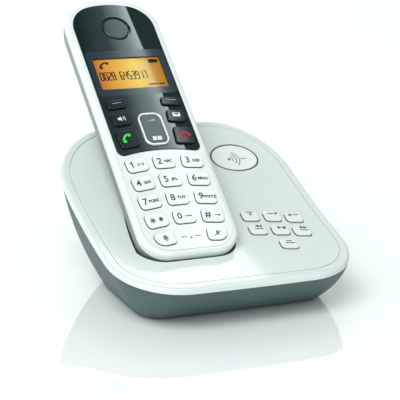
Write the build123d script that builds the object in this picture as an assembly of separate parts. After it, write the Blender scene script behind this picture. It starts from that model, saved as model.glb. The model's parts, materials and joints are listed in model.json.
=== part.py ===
"""Cordless telephone handset resting in its answering-machine base.

Frame: millimetres, +Z up, +X to the user's right, +Y away from the user. The origin is on the
desk, under the middle of the whole object's box. Each piece is drawn either in base coordinates
(x, y, z about the middle of the base) or in handset coordinates (u to the right, v up along the
handset, w out of its front face), and is moved to the object's frame at export.
"""
from build123d import *
import os
from math import asin, cos, degrees, radians, sin, sqrt

OVERALL_MIDDLE_Y = 14.415     # the leaning handset puts the object's middle behind the base's

# ---------------------------------------------------------------- base: driving dimensions
BASE_WIDTH = 117.0
BASE_DEPTH = 117.0
FRONT_CORNER = 30.0           # plan radius of the two front corners
BACK_CORNER = 34.0
SIDE_BOW = 1.2                # how far each side swells between its corners
RAMP_RADIUS = 329.3           # the parting line is an arc of this radius in side view
RAMP_AXIS = (-108.0, 344.3)   # y and z of that arc's centre, over the front of the base
CROWN_RADIUS = 2000.0         # the top also falls away to the left and right
TOP_LIFT = 2.9                # top surface above the parting arc, in the middle
EDGE_ROUND = 1.7
COVER_WALL = 2.2
RIM_WALL = 2.4
SEAM = 0.3                    # shadow gap between the cover and the bottom housing
GROOVE_INSET = 4.2            # fine line that runs round the top near its edge
GROOVE_WIDTH = 0.45
GROOVE_DEPTH = 0.5

FOOTPRINT = (91.4, 76.6)      # flat underside, width and depth
FOOTPRINT_MIDDLE = (2.4, -0.3)
FOOTPRINT_CORNERS = (11.0, 34.0)       # its front and back corners
RIM_TILT = 19.0               # mean slope of the rim, degrees
RIM_MIDDLE_HEIGHT = 40.0      # chord of the rim over the middle of the base
RIM_SIDE_BOW = 1.4
BOWL_BULGE = 2.2
HOUSING_FLOOR = 1.0           # the feet hold the housing this far off the desk
HOUSING_WALL = 2.1

FEET = [(-31, -26), (36, -26), (-20, 27), (24, 27)]
FOOT_RADIUS = 5.0
FOOT_HEIGHT = 1.8
BASE_SCREWS = [(35, 6), (-33, 18), (33, 22)]
BOSS_RADIUS = 3.2
BOSS_BOTTOM = 5.0
PILOT_RADIUS = 1.3
SCREW_RADIUS = 1.25
HEAD_RADIUS = 2.6
HEAD_HEIGHT = 1.6

BASE_KEY_SIZE = (8.2, 7.4)
BASE_KEY_TURN = -8.0          # the rows run down to the right, degrees
BASE_KEYS = {                 # middle of each key
    "key_power": (20.5, -8.6), "key_volume_down": (31.2, -10.2), "key_volume_up": (41.4, -12.2),
    "key_rewind": (19.5, -19.2), "key_play": (30.2, -20.9), "key_forward": (40.2, -23.0),
    "key_delete": (29.0, -32.2),
}
KEY_BOARD_DROP = 7.5          # switch board under the top surface
KEY_BOARD_MIDDLE = (28.2, -20.4)
KEY_BOARD_SIZE = (35.0, 34.0)
BADGE_MIDDLE = (31.3, 32.4)
BADGE_SIZE = (12.3, 8.9)      # half axes of the oval badge
BADGE_RISE = 0.25
BADGE_SEAT = 0.6

LOUDSPEAKER_MIDDLE = (21.0, -8.5)
LOUDSPEAKER_RADIUS = 15.0
GRILLE_RADIUS = 9.5           # round field of slots under the loudspeaker
GRILLE_PITCH = 2.6
GRILLE_SLOT = 1.3
MAIN_BOARD = (56.0, 32.0, 1.6)
MAIN_BOARD_PLACE = (0.0, 20.5, 9.5)    # middle of its underside
JACK_FACE_Y = 42.2            # jack mouths, just inside the back wall
LINE_JACK = (14.0, 13.0, 11.0)
LINE_MOUTH = (9.8, 9.0, 7.0)
LINE_JACK_X = 15.0
POWER_JACK = (11.0, 12.0, 9.5)
POWER_MOUTH = (6.8, 8.0, 5.6)
POWER_JACK_X = -8.0

# ---------------------------------------------------------------- handset: driving dimensions
HANDSET_TOP = 151.0           # the handset's top edge, up from its origin
FOOT_LINE = 2.5               # its bottom edge
HANDSET_HALF = 23.6
HANDSET_DEPTH = 24.0
HANDSET_ORIGIN = (-18.7, -38.95, 27.8)  # on the front face's middle line, in base coordinates
RECLINE = 52.66               # lean back from upright, degrees
FRONT_DEPTH = 4.0             # depth of the white front shell
FOOT_CORNER = 12.5
HEAD_CORNER = 16.0
HEAD_ARC = 46.0
FRONT_ROUND = 1.9
SHELL_WALL = 1.6
FACE_WALL = 2.0
# How the back shell draws in: depth behind the front face, and inset of the outline there.
HULL_LEVELS = [(4.0, 0.0), (9.0, 0.8), (14.0, 3.0), (18.5, 6.6), (22.0, 11.0), (24.0, 14.6)]
FOOT_SHARE = 0.3              # the foot draws in less than the sides

PANEL_INSET = 3.1             # glossy panel inside the handset's outline
PANEL_BOTTOM = 59.3
PANEL_ARCH = 2.9              # how far the panel's lower edge is arched
PANEL_SINK = 1.2
PANEL_RISE = 0.3
PANEL_CORNER = 3.2
CREASE_INSET = 2.0            # fine line round the key area
CREASE_FOOT = 2.3             # and inside its bottom edge
CREASE_TOP = 56.8
CREASE_WIDTH = 0.35
CREASE_DEPTH = 0.35

DISPLAY = (33.8, 18.8)
DISPLAY_MIDDLE = 105.1
LENS_THICKNESS = 0.8
EARPIECE = (0.6, 132.6)
EARPIECE_RADIUS = 7.3
NAV_MIDDLE = (0.6, 70.9)
NAV_RING = (11.9, 18.4)
NAV_RING_WIDTH = 0.9
NAV_RING_CORNER = 3.8

KEY_PITCH = 13.5
ROW_PITCH = 10.18
FIRST_ROW = 52.3              # middle of keys 1, 2 and 3
ROW_ARCH = 0.0044             # drop of a row per square millimetre from the handset's middle
KEY_SIZE = (10.2, 7.3)
KEY_CORNER = 2.0
KEY_RISE = 0.9                # key tops stand this far above the face
KEY_GAP = 0.22
FLANGE = 0.7                  # lip that stops a key falling out of the face
FLANGE_TOP = -2.15
FLANGE_BOTTOM = -2.85
STEM_BOTTOM = -3.7
DIAL_NAMES = ["key_1", "key_2", "key_3", "key_4", "key_5", "key_6",
              "key_7", "key_8", "key_9", "key_star", "key_0", "key_hash"]
PANEL_KEYS = {                # middle, size and turn in degrees of the keys in the panel
    "softkey_left": ((-13.2, 86.2), (9.4, 4.8), 6.0),
    "softkey_right": ((13.8, 86.2), (9.4, 4.8), -6.0),
    "speaker_key": ((-13.4, 77.4), (9.0, 6.8), 6.0),
    "message_key": ((13.9, 77.4), (9.0, 6.8), -6.0),
    "talk_key": ((-13.6, 66.0), (9.2, 9.6), 6.0),
    "end_key": ((14.1, 66.0), (9.2, 9.6), -6.0),
}
PANEL_KEY_RISE = 1.3
LOWER_KEYS = {"alarm_key": -1, "mute_key": 1}
LOWER_KEY_MIDDLE = (12.5, 11.0)
LOWER_KEY_SIZE = (9.4, 6.6)
LOWER_KEY_ROUND = 4.4         # its outer lower corner follows the handset's foot

HANDSET_BOARD = (40.0, 112.0)
HANDSET_BOARD_FOOT = 10.0
BOARD_TOP = -4.9
BOARD_THICKNESS = 1.0
DOME_RISE = 0.45
CELL_RADIUS = 5.1
CELL_V = (23.5, 68.0)
CELL_U = 5.4
CELL_W = -16.9
BAY_HALF = 12.2
BAY_WALL = 1.2
BAY_V = (19.7, 87.0)
BAY_DIVIDER = 72.3
BAY_FLOOR = -11.1
COVER_HALF = 13.4
COVER_V = (18.0, 92.0)
COVER_THICKNESS = 1.6
COVER_SLIDE = 8.0
COVER_GAP = 0.2
HANDSET_SCREWS = [(-4.8, 82.6), (4.8, 82.6)]
RINGER = (0.0, 110.0)
RINGER_RADIUS = 9.5
RINGER_SLOT_PITCH = 3.0
MICROPHONE = (0.0, 10.8)
CONTACT_U = 9.0               # charging contacts, left and right of the middle of the foot

CRADLE_GAP = 0.9              # room round the standing handset
CRADLE_WALL = 1.8


# ---------------------------------------------------------------- shapes that several pieces share
def bowed_outline(width, depth, front_corner, back_corner, bow, inset=0.0):
    """Rounded square with gently swelling sides, drawn about its middle."""
    half_x = width / 2 - inset
    half_y = depth / 2 - inset
    left, right = -half_x + bow, half_x - bow
    front, back = -half_y + bow, half_y - bow
    sides = [
        ThreePointArc((left, front), (0, -half_y), (right, front)),
        ThreePointArc((right, front), (half_x, 0), (right, back)),
        ThreePointArc((right, back), (0, half_y), (left, back)),
        ThreePointArc((left, back), (-half_x, 0), (left, front)),
    ]
    face = make_face(sides)
    face = fillet(face.vertices().sort_by(Axis.Y)[:2], front_corner - inset)
    return fillet(face.vertices().sort_by(Axis.Y)[-2:], back_corner - inset)


def rounded(width, height, radius):
    """Rectangle with round corners, drawn about its middle."""
    return RectangleRounded(width, height, radius)


def upright(outline, bottom=-5.0, top=95.0):
    """Extrude a plan outline straight up."""
    return Pos(0, 0, bottom) * extrude(outline, top - bottom)


def base_outline(inset=0.0):
    return bowed_outline(BASE_WIDTH, BASE_DEPTH, FRONT_CORNER, BACK_CORNER, SIDE_BOW, inset)


def above_parting(lift=0.0):
    """All that lies above the parting arc, raised by lift."""
    return Pos(0, *RAMP_AXIS) * Rot(0, 90, 0) * Cylinder(RAMP_RADIUS - lift, 160)


def above_top(lift=TOP_LIFT):
    """All that lies above the crowned top surface."""
    half = 75.0
    middle = RAMP_RADIUS - lift
    side = middle + CROWN_RADIUS - sqrt(CROWN_RADIUS**2 - half**2)
    profile = make_face([
        Line((-half, 0), (half, 0)),
        Line((half, 0), (half, side)),
        ThreePointArc((half, side), (0, middle), (-half, side)),
        Line((-half, side), (-half, 0)),
    ])
    return Pos(0, *RAMP_AXIS) * revolve(profile, Axis.X)


def under_top(outline, upper, lower):
    """A layer that follows the top surface, between two lifts, inside a plan outline."""
    return upright(outline) - above_top(upper) - (upright(outline) - above_top(lower))


def bowl(inset=0.0):
    """The bottom housing's outer shape, or its inside when inset by the wall."""
    sections = []
    for share in (0.0, 0.5, 1.0):
        bulge = BOWL_BULGE * 4 * share * (1 - share)
        width = FOOTPRINT[0] + (BASE_WIDTH + RIM_SIDE_BOW - FOOTPRINT[0]) * share + 2 * bulge
        rim_depth = BASE_DEPTH / cos(radians(RIM_TILT))
        depth = FOOTPRINT[1] + (rim_depth - FOOTPRINT[1]) * share + 2 * bulge
        front = FOOTPRINT_CORNERS[0] + (FRONT_CORNER - FOOTPRINT_CORNERS[0]) * share
        back = FOOTPRINT_CORNERS[1] + (BACK_CORNER - FOOTPRINT_CORNERS[1]) * share
        bow = SIDE_BOW + RIM_SIDE_BOW * share
        outline = bowed_outline(width, depth, front, back, bow, inset)
        floor = HOUSING_FLOOR + inset
        middle_x, middle_y = (place * (1 - share) for place in FOOTPRINT_MIDDLE)
        height = floor + (RIM_MIDDLE_HEIGHT - floor) * share
        sections.append(Pos(middle_x, middle_y, height) * Rot(RIM_TILT * share, 0, 0) * outline)
    return loft(sections)


def key_place(name):
    x, y = BASE_KEYS[name]
    return Pos(x, y, 0) * Rot(0, 0, BASE_KEY_TURN)


def base_key_outline(name, grow=0.0):
    width, height = BASE_KEY_SIZE
    return key_place(name) * rounded(width + 2 * grow, height + 2 * grow, KEY_CORNER + grow)


# Handset coordinates: x is u, y is v, z is w.
recline = radians(RECLINE)
HANDSET = Location(Plane(origin=HANDSET_ORIGIN, x_dir=(1, 0, 0), z_dir=(0, -cos(recline), sin(recline))))


def handset_outline(inset=0.0, foot_inset=None):
    """Front view of the handset: square foot with rounded corners, strongly rounded head."""
    half = HANDSET_HALF - inset
    foot = FOOT_LINE + (inset if foot_inset is None else foot_inset)
    foot_corner = FOOT_CORNER - 0.6 * inset
    head_corner = HEAD_CORNER - 0.6 * inset
    head_arc = HEAD_ARC - inset
    top = HANDSET_TOP - inset
    arc_centre = top - head_arc
    corner_x = half - head_corner
    corner_y = arc_centre + sqrt((head_arc - head_corner)**2 - corner_x**2)
    reach = head_arc / (head_arc - head_corner)
    meet_x = corner_x * reach
    meet_y = arc_centre + (corner_y - arc_centre) * reach
    turn = asin(corner_x / (head_arc - head_corner))
    mid_angle = (radians(90) - turn) / 2
    mid_x = corner_x + head_corner * cos(mid_angle)
    mid_y = corner_y + head_corner * sin(mid_angle)
    low = foot_corner * (1 - sin(radians(45)))
    edges = [
        Line((-half + foot_corner, foot), (half - foot_corner, foot)),
        ThreePointArc((half - foot_corner, foot), (half - low, foot + low), (half, foot + foot_corner)),
        Line((half, foot + foot_corner), (half, corner_y)),
        ThreePointArc((half, corner_y), (mid_x, mid_y), (meet_x, meet_y)),
        ThreePointArc((meet_x, meet_y), (0, top), (-meet_x, meet_y)),
        ThreePointArc((-meet_x, meet_y), (-mid_x, mid_y), (-half, corner_y)),
        Line((-half, corner_y), (-half, foot + foot_corner)),
        ThreePointArc((-half, foot + foot_corner), (-half + low, foot + low), (-half + foot_corner, foot)),
    ]
    return make_face(edges)


def hull(shrink=0.0):
    """The back shell's outer shape, drawn in by shrink all over."""
    sections = []
    for depth, inset in HULL_LEVELS:
        share = (depth - FRONT_DEPTH) / (HANDSET_DEPTH - FRONT_DEPTH)
        outline = handset_outline(inset + shrink, FOOT_SHARE * inset + shrink)
        sections.append(Pos(0, 0, -depth + shrink * share) * outline)
    return loft(sections)


def block(u_range, v_range, w_range):
    """A box between limits in handset coordinates."""
    size = [high - low for low, high in (u_range, v_range, w_range)]
    middle = [(high + low) / 2 for low, high in (u_range, v_range, w_range)]
    return Pos(*middle) * Box(*size)


# ---------------------------------------------------------------- base pieces
def base_top_cover():
    solid = (upright(base_outline()) & above_parting()) - above_top()
    solid = fillet(upper_edges(solid), EDGE_ROUND)
    groove = upright(base_outline(GROOVE_INSET)) - upright(base_outline(GROOVE_INSET + GROOVE_WIDTH))
    solid -= groove & above_top(TOP_LIFT - GROOVE_DEPTH)
    solid -= upright(base_outline(RIM_WALL)) - above_top(TOP_LIFT - COVER_WALL)
    solid += cradle_space(CRADLE_GAP + CRADLE_WALL) - above_top(TOP_LIFT - GROOVE_DEPTH)
    for x, y in BASE_SCREWS:
        solid += upright(Pos(x, y) * Circle(BOSS_RADIUS), BOSS_BOTTOM) - above_top(TOP_LIFT - 1)
    solid -= cradle_space(CRADLE_GAP)
    for side in (-1, 1):
        solid -= HANDSET * contact_slot(side * CONTACT_U)
    for x, y in BASE_SCREWS:
        solid -= Pos(x, y, BOSS_BOTTOM + 5) * Cylinder(PILOT_RADIUS, 10.01)
    for name in BASE_KEYS:
        solid -= upright(base_key_outline(name, KEY_GAP), 10)
    return solid - (upright(badge_outline(0.05)) & above_top(TOP_LIFT - BADGE_SEAT))


def upper_edges(solid):
    """Edges between the cover's sides and its top."""
    found = []
    for edge in solid.edges():
        middle = edge.center()
        parting = RAMP_AXIS[1] - sqrt(RAMP_RADIUS**2 - (middle.Y - RAMP_AXIS[0])**2)
        if edge.geom_type != GeomType.LINE and middle.Z > parting + 1.5:
            found.append(edge)
    return found


def cradle_space(gap):
    """Room for the foot of the handset, open towards its front, in base coordinates."""
    outline = extrude(Pos(0, 0, -30) * handset_outline(-gap), 50)
    half = HANDSET_HALF + gap
    floor = -HANDSET_DEPTH - gap
    flat = HANDSET_HALF - HULL_LEVELS[-1][1] + 0.5 * gap
    flank = (HANDSET_HALF - HULL_LEVELS[2][1] + 0.8 * gap, -HULL_LEVELS[2][0] - 0.6 * gap)
    section = make_face([
        Line((-half, 20), (half, 20)),
        Line((half, 20), (half, -FRONT_DEPTH)),
        ThreePointArc((half, -FRONT_DEPTH), flank, (flat, floor)),
        Line((flat, floor), (-flat, floor)),
        ThreePointArc((-flat, floor), (-flank[0], flank[1]), (-half, -FRONT_DEPTH)),
        Line((-half, -FRONT_DEPTH), (-half, 20)),
    ])
    along = extrude(Plane.XZ.offset(10) * section, -180)
    return HANDSET * (outline & along)


def contact_slot(u):
    outside = FOOT_LINE - CRADLE_GAP - CRADLE_WALL
    return block((u - 1.9, u + 1.9), (outside - 0.5, FOOT_LINE), (-14.0, -10.0))


def cradle_contacts():
    """Two spring contacts: a leg outside the cradle's end wall and a nib that passes through it."""
    outside = FOOT_LINE - CRADLE_GAP - CRADLE_WALL
    solids = []
    for side in (-1, 1):
        u = side * CONTACT_U
        leg = block((u - 1.5, u + 1.5), (outside - 0.5, outside), (-19.0, -8.0))
        nib = block((u - 1.5, u + 1.5), (outside, FOOT_LINE + 0.3), (-12.6, -11.4))
        solids.append(HANDSET * (leg + nib))
    return Compound(solids)


def base_bottom_housing():
    solid = bowl() - above_parting(-SEAM) - bowl(HOUSING_WALL)
    for x, y in BASE_SCREWS:
        solid += upright(Pos(x, y) * Circle(5), HOUSING_FLOOR, BOSS_BOTTOM - 0.1) & bowl()
        solid -= Pos(x, y, 0) * Cylinder(SCREW_RADIUS + 0.4, 20)
        solid -= Pos(x, y, HOUSING_FLOOR) * Cylinder(HEAD_RADIUS + 0.3, 2 * HEAD_HEIGHT + 0.8)
    for x, y in FEET:
        solid -= Pos(x, y, HOUSING_FLOOR) * Cylinder(FOOT_RADIUS + 0.1, 2 * (FOOT_HEIGHT - HOUSING_FLOOR))
    x, y = LOUDSPEAKER_MIDDLE
    for step in range(-3, 4):
        across = GRILLE_PITCH * step
        slot = SlotOverall(2 * sqrt(GRILLE_RADIUS**2 - across**2), GRILLE_SLOT)
        solid -= upright(Pos(x, y + across) * slot, 0, HOUSING_FLOOR + HOUSING_WALL + 0.5)
    for middle_x, (width, depth, height) in ((LINE_JACK_X, LINE_JACK), (POWER_JACK_X, POWER_JACK)):
        window = Box(width + 2 * SEAM, 2 * depth, height + 2 * SEAM)
        solid -= Pos(middle_x, JACK_FACE_Y, board_top() + height / 2) * window
    return solid


def board_top():
    return MAIN_BOARD_PLACE[2] + MAIN_BOARD[2]


def jack(size, mouth, middle_x):
    """A socket body with its mouth towards the back."""
    width, depth, height = size
    body = Pos(middle_x, JACK_FACE_Y - depth / 2, board_top() + height / 2) * Box(width, depth, height)
    body = fillet(body.edges().filter_by(Axis.Y), 0.5)
    hole = Box(mouth[0], 2 * mouth[1], mouth[2])
    notch = Box(mouth[0] * 0.4, 2 * mouth[1], 1.6)
    height_middle = board_top() + height / 2 - 0.4
    body -= Pos(middle_x, JACK_FACE_Y, height_middle) * hole
    return body - Pos(middle_x, JACK_FACE_Y, height_middle + mouth[2] / 2) * notch


def base_main_board():
    width, depth, thickness = MAIN_BOARD
    x, y, z = MAIN_BOARD_PLACE
    board = Pos(x, y, z + thickness / 2) * Box(width, depth, thickness)
    board = fillet(board.edges().filter_by(Axis.Z), 2)
    shield = Pos(x - 14, y - 4, z + thickness + 1.5) * Box(18, 16, 3)
    chip = Pos(x + 10, y - 7, z + thickness + 0.7) * Box(10, 10, 1.4)
    return board + shield + chip


def key_board_outline():
    return Pos(*KEY_BOARD_MIDDLE) * rounded(*KEY_BOARD_SIZE, 2)


def base_key_board():
    return under_top(key_board_outline(), TOP_LIFT - KEY_BOARD_DROP, TOP_LIFT - KEY_BOARD_DROP - 1.2)


def base_key_switches():
    """One push switch on the board under each base key."""
    board = TOP_LIFT - KEY_BOARD_DROP
    switches = []
    for name in BASE_KEYS:
        body = under_top(key_place(name) * rounded(5, 5, 0.5), board + 0.9, board)
        switches.append(body + under_top(key_place(name) * Circle(1.3), board + 1.5, board + 0.5))
    return Compound(switches)


def base_loudspeaker():
    x, y = LOUDSPEAKER_MIDDLE
    bottom = HOUSING_FLOOR + HOUSING_WALL + 0.1
    basket = Pos(x, y, bottom + 1.5) * Cylinder(LOUDSPEAKER_RADIUS, 3)
    cone = Pos(x, y, bottom + 4.5) * Cone(LOUDSPEAKER_RADIUS - 1, 8, 3)
    magnet = Pos(x, y, bottom + 7.5) * Cylinder(8, 3)
    return basket + cone + magnet


def base_key(name):
    """A cap that follows the cover's top, a lip under the cover and a stem over its switch."""
    under_cover = TOP_LIFT - COVER_WALL
    cap = under_top(base_key_outline(name), TOP_LIFT + KEY_RISE, under_cover - 0.6)
    lip = under_top(base_key_outline(name, FLANGE), under_cover - 0.15, under_cover - 0.85)
    stem = under_top(key_place(name) * Circle(1.5), under_cover - 0.5, under_cover - 3.0)
    cap = fillet(cap.faces().sort_by(Axis.Z)[-1].edges(), 0.5)
    return cap + lip + stem


def badge_outline(grow=0.0):
    return Pos(*BADGE_MIDDLE) * Ellipse(BADGE_SIZE[0] + grow, BADGE_SIZE[1] + grow)


def oval_badge():
    return under_top(badge_outline(), TOP_LIFT + BADGE_RISE, TOP_LIFT - BADGE_SEAT + 0.02)


def feet():
    return Compound([Pos(x, y, FOOT_HEIGHT / 2) * Cylinder(FOOT_RADIUS, FOOT_HEIGHT) for x, y in FEET])


def screw(length):
    """A cross-recessed screw with its head's outer face at z = 0, pointing up."""
    head = Pos(0, 0, HEAD_HEIGHT / 2) * Cylinder(HEAD_RADIUS, HEAD_HEIGHT)
    shank = Pos(0, 0, HEAD_HEIGHT + length / 2) * Cylinder(SCREW_RADIUS, length)
    for turn in (0, 90):
        head -= Rot(0, 0, turn) * Box(3.2, 0.7, 1.6)
    return head + shank


def base_screws():
    return Compound([Pos(x, y, HOUSING_FLOOR + 0.4) * screw(9) for x, y in BASE_SCREWS])


# ---------------------------------------------------------------- handset pieces
def panel_outline(grow=0.0):
    """Glossy panel: the handset's outline inside its rim, cut off below by an arched edge."""
    reach = HANDSET_HALF
    low = PANEL_BOTTOM - PANEL_ARCH * (reach / (HANDSET_HALF - PANEL_INSET))**2
    above = make_face([
        ThreePointArc((-reach, low - grow), (0, PANEL_BOTTOM - grow), (reach, low - grow)),
        Line((reach, low - grow), (reach, 160)),
        Line((reach, 160), (-reach, 160)),
        Line((-reach, 160), (-reach, low - grow)),
    ])
    face = handset_outline(PANEL_INSET - grow) & above
    return fillet(face.vertices().sort_by(Axis.Y)[:2], PANEL_CORNER)


def sunk(outline, top, bottom):
    """Extrude a front-view outline between two heights of w."""
    return extrude(Pos(0, 0, bottom) * outline, top - bottom)


def dial_key_middle(index):
    u = (index % 3 - 1) * KEY_PITCH
    return u, FIRST_ROW - (index // 3) * ROW_PITCH - ROW_ARCH * u**2


def dial_key_place(index):
    u, v = dial_key_middle(index)
    return Pos(u, v, 0) * Rot(0, 0, -degrees_of_arch(u))


def degrees_of_arch(u):
    return degrees(2 * ROW_ARCH * u)


def dial_key_outline(index, grow=0.0):
    return dial_key_place(index) * rounded(KEY_SIZE[0] + 2 * grow, KEY_SIZE[1] + 2 * grow, KEY_CORNER + grow)


def panel_key_outline(name, grow=0.0):
    (u, v), (width, height), turn = PANEL_KEYS[name]
    return Pos(u, v, 0) * Rot(0, 0, turn) * rounded(width + 2 * grow, height + 2 * grow, 1.6 + grow)


def lower_key_outline(name, grow=0.0):
    """Key at the foot, with a large round on the corner nearest the handset's own."""
    side = LOWER_KEYS[name]
    middle_u, middle_v = LOWER_KEY_MIDDLE
    width, height = (size + 2 * grow for size in LOWER_KEY_SIZE)
    face = Rectangle(width, height)
    corners = face.vertices().sort_by(lambda corner: corner.Y - 0.5 * side * corner.X)
    face = fillet(corners[:1], LOWER_KEY_ROUND + grow)
    sharp = [corner for corner in face.vertices()
             if abs(abs(corner.X) - width / 2) < 0.01 and abs(abs(corner.Y) - height / 2) < 0.01]
    face = fillet(sharp, 1.8 + grow)
    return Pos(side * middle_u, middle_v, 0) * Rot(0, 0, -6 * side) * face


def handset_keys():
    """Every push key of the handset: its outline function, its name or index, and its rise."""
    keys = {name: (dial_key_outline, index, KEY_RISE) for index, name in enumerate(DIAL_NAMES)}
    keys.update({name: (lower_key_outline, name, KEY_RISE) for name in LOWER_KEYS})
    keys.update({name: (panel_key_outline, name, PANEL_KEY_RISE) for name in PANEL_KEYS})
    return keys


def handset_key(outline, key, rise):
    cap = sunk(outline(key), rise, FLANGE_BOTTOM)
    cap = fillet(cap.faces().sort_by(Axis.Z)[-1].edges(), 0.5)
    lip = sunk(outline(key, FLANGE), FLANGE_TOP, FLANGE_BOTTOM)
    middle = outline(key).center()
    stem = sunk(Pos(middle.X, middle.Y) * Circle(1.4), FLANGE_BOTTOM, STEM_BOTTOM)
    return cap + lip + stem


def handset_front_shell():
    solid = sunk(handset_outline(), 0, -FRONT_DEPTH)
    solid = fillet(solid.faces().sort_by(Axis.Z)[-1].edges(), FRONT_ROUND)
    solid -= sunk(handset_outline(SHELL_WALL), -FACE_WALL, -FRONT_DEPTH - 1)
    solid -= sunk(panel_outline(0.05), 1, -PANEL_SINK)
    crease = handset_outline(CREASE_INSET, CREASE_FOOT) - handset_outline(
        CREASE_INSET + CREASE_WIDTH, CREASE_FOOT + CREASE_WIDTH)
    crease &= Pos(0, CREASE_TOP - 40) * Rectangle(60, 80)
    solid -= sunk(crease, 1, -CREASE_DEPTH)
    for outline, key, rise in handset_keys().values():
        solid -= sunk(outline(key, KEY_GAP), 1, -FACE_WALL - 1)
    solid -= sunk(display_opening(0.3), 1, -FACE_WALL - 1)
    solid -= Pos(*NAV_MIDDLE, 0) * Cylinder(3.2, 10)
    solid -= Pos(*MICROPHONE, 0) * Cylinder(0.6, 10)
    post = Circle(HEAD_RADIUS) - Circle(SCREW_RADIUS + 0.05)
    for u, v in HANDSET_SCREWS:
        solid += sunk(Pos(u, v) * post, -FACE_WALL, BAY_FLOOR + 1.3)
    return solid


def display_opening(grow=0.0):
    return Pos(0, DISPLAY_MIDDLE) * rounded(DISPLAY[0] + 2 * grow, DISPLAY[1] + 2 * grow, 0.8)


def front_panel():
    solid = sunk(panel_outline(), PANEL_RISE, -PANEL_SINK)
    solid = fillet(solid.faces().sort_by(Axis.Z)[-1].edges(), 0.25)
    solid -= sunk(display_opening(), 1, -2)
    for name in PANEL_KEYS:
        solid -= sunk(panel_key_outline(name, KEY_GAP), 1, -2)
    solid -= sunk(nav_outline(0.05), 1, -2)
    return solid - sunk(Pos(*EARPIECE) * Circle(EARPIECE_RADIUS), 1, -0.7)


def earpiece_cap():
    """Low dome in the dish of the panel; sound comes out round its edge."""
    disc = sunk(Pos(*EARPIECE) * Circle(EARPIECE_RADIUS - 0.8), 0.25, -0.7)
    return fillet(disc.faces().sort_by(Axis.Z)[-1].edges(), 0.7)


def nav_outline(grow=0.0):
    corner = NAV_RING_CORNER + grow
    return Pos(*NAV_MIDDLE) * rounded(NAV_RING[0] + 2 * grow, NAV_RING[1] + 2 * grow, corner)


def nav_ring():
    solid = sunk(nav_outline() - nav_outline(-NAV_RING_WIDTH), 1.3, -PANEL_SINK)
    return fillet(solid.faces().sort_by(Axis.Z)[-1].edges(), 0.4)


def nav_rocker():
    cap = sunk(nav_outline(-NAV_RING_WIDTH - 0.35), 1.15, -0.65)
    cap = fillet(cap.faces().sort_by(Axis.Z)[-1].edges(), 0.6)
    return cap + Pos(*NAV_MIDDLE, -1.9) * Cylinder(1.8, 2.6)


def display_lens():
    return sunk(display_opening(-0.05), PANEL_RISE - 0.05, PANEL_RISE - 0.05 - LENS_THICKNESS)


def display_module():
    """Liquid-crystal cell that fills the window, on a wider frame behind the face."""
    cell_top = PANEL_RISE - LENS_THICKNESS - 0.1
    cell = sunk(display_opening(-0.1), cell_top, -FACE_WALL - 0.1)
    frame = Pos(0, DISPLAY_MIDDLE) * Rectangle(DISPLAY[0] + 5, DISPLAY[1] + 5)
    return cell + sunk(frame, -FACE_WALL - 0.1, -FACE_WALL - 1.8)


def handset_back_shell():
    seat = hull(COVER_THICKNESS + COVER_GAP)
    low = COVER_V[0] - COVER_SLIDE - COVER_GAP
    high = COVER_V[1] + COVER_GAP
    cut_half = COVER_HALF + COVER_GAP
    cover_room = block((-cut_half, cut_half), (low, high), (-30, -16)) - seat
    # Ledge that the cover lies on, and the bare strip below it that the cover slides over.
    ledge = hull(SHELL_WALL - 0.2) - hull(SHELL_WALL + 1.4)
    ledge &= block((-15.2, 15.2), (low - 2, high + 2), (-30, -14))
    ledge -= block((-BAY_HALF, BAY_HALF), (BAY_V[0], COVER_V[1] - 2), (-30, -14))
    solid = hull() - hull(SHELL_WALL) + ledge - cover_room
    bay = block((-BAY_HALF - BAY_WALL, BAY_HALF + BAY_WALL),
                (BAY_V[0] - BAY_WALL, BAY_V[1] + BAY_WALL), (-30, BAY_FLOOR + 1.2))
    bay -= block((-BAY_HALF, BAY_HALF), (BAY_V[0], BAY_DIVIDER), (-31, BAY_FLOOR))
    bay -= block((-BAY_HALF, BAY_HALF), (BAY_DIVIDER + BAY_WALL, BAY_V[1]), (-31, BAY_FLOOR))
    solid += bay & seat
    collar = sunk(Pos(*RINGER) * (Circle(RINGER_RADIUS + 1.2) - Circle(RINGER_RADIUS + 0.2)), -19.0, -30)
    solid += collar & hull(SHELL_WALL - 0.3)
    for step in range(-2, 3):
        slot = Pos(RINGER[0], RINGER[1] + RINGER_SLOT_PITCH * step) * SlotOverall(13 - 1.2 * step**2, 1.2)
        solid -= sunk(slot, -20, -30)
    for u, v in HANDSET_SCREWS:
        solid -= Pos(u, v, BAY_FLOOR) * Cylinder(SCREW_RADIUS + 0.25, 6)
    for side in (-1, 1):
        solid -= contact_patch(side * CONTACT_U)
    return solid


def contact_patch(u):
    """The part of the foot's skin that a charging contact fills."""
    return block((u - 1.8, u + 1.8), (FOOT_LINE - 1, FOOT_LINE + 3.2), (-15.5, -8.5)) & hull()


def handset_contacts():
    return Compound([contact_patch(side * CONTACT_U) - hull(0.9) for side in (-1, 1)])


def battery_cover():
    skin = hull() - hull(COVER_THICKNESS)
    cover = skin & block((-COVER_HALF, COVER_HALF), COVER_V, (-30, -16))
    for step in range(4):
        half = 6 - step
        foot = COVER_V[0] + 5 + 2.2 * step
        cover -= block((-half, half), (foot, foot + 1), (-25, 0.4 - HANDSET_DEPTH))
    return cover


def battery_cells():
    cells = []
    for side in (-1, 1):
        middle = (CELL_V[0] + CELL_V[1]) / 2
        length = CELL_V[1] - CELL_V[0]
        place = Pos(side * CELL_U, middle, CELL_W) * Rot(90 * side, 0, 0)
        can = fillet(Cylinder(CELL_RADIUS, length - 1).edges(), 0.5)
        button = Pos(0, 0, length / 2 - 0.25) * Cylinder(1.9, 1.5)
        cells.append(place * (can + button))
    return Compound(cells)


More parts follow.
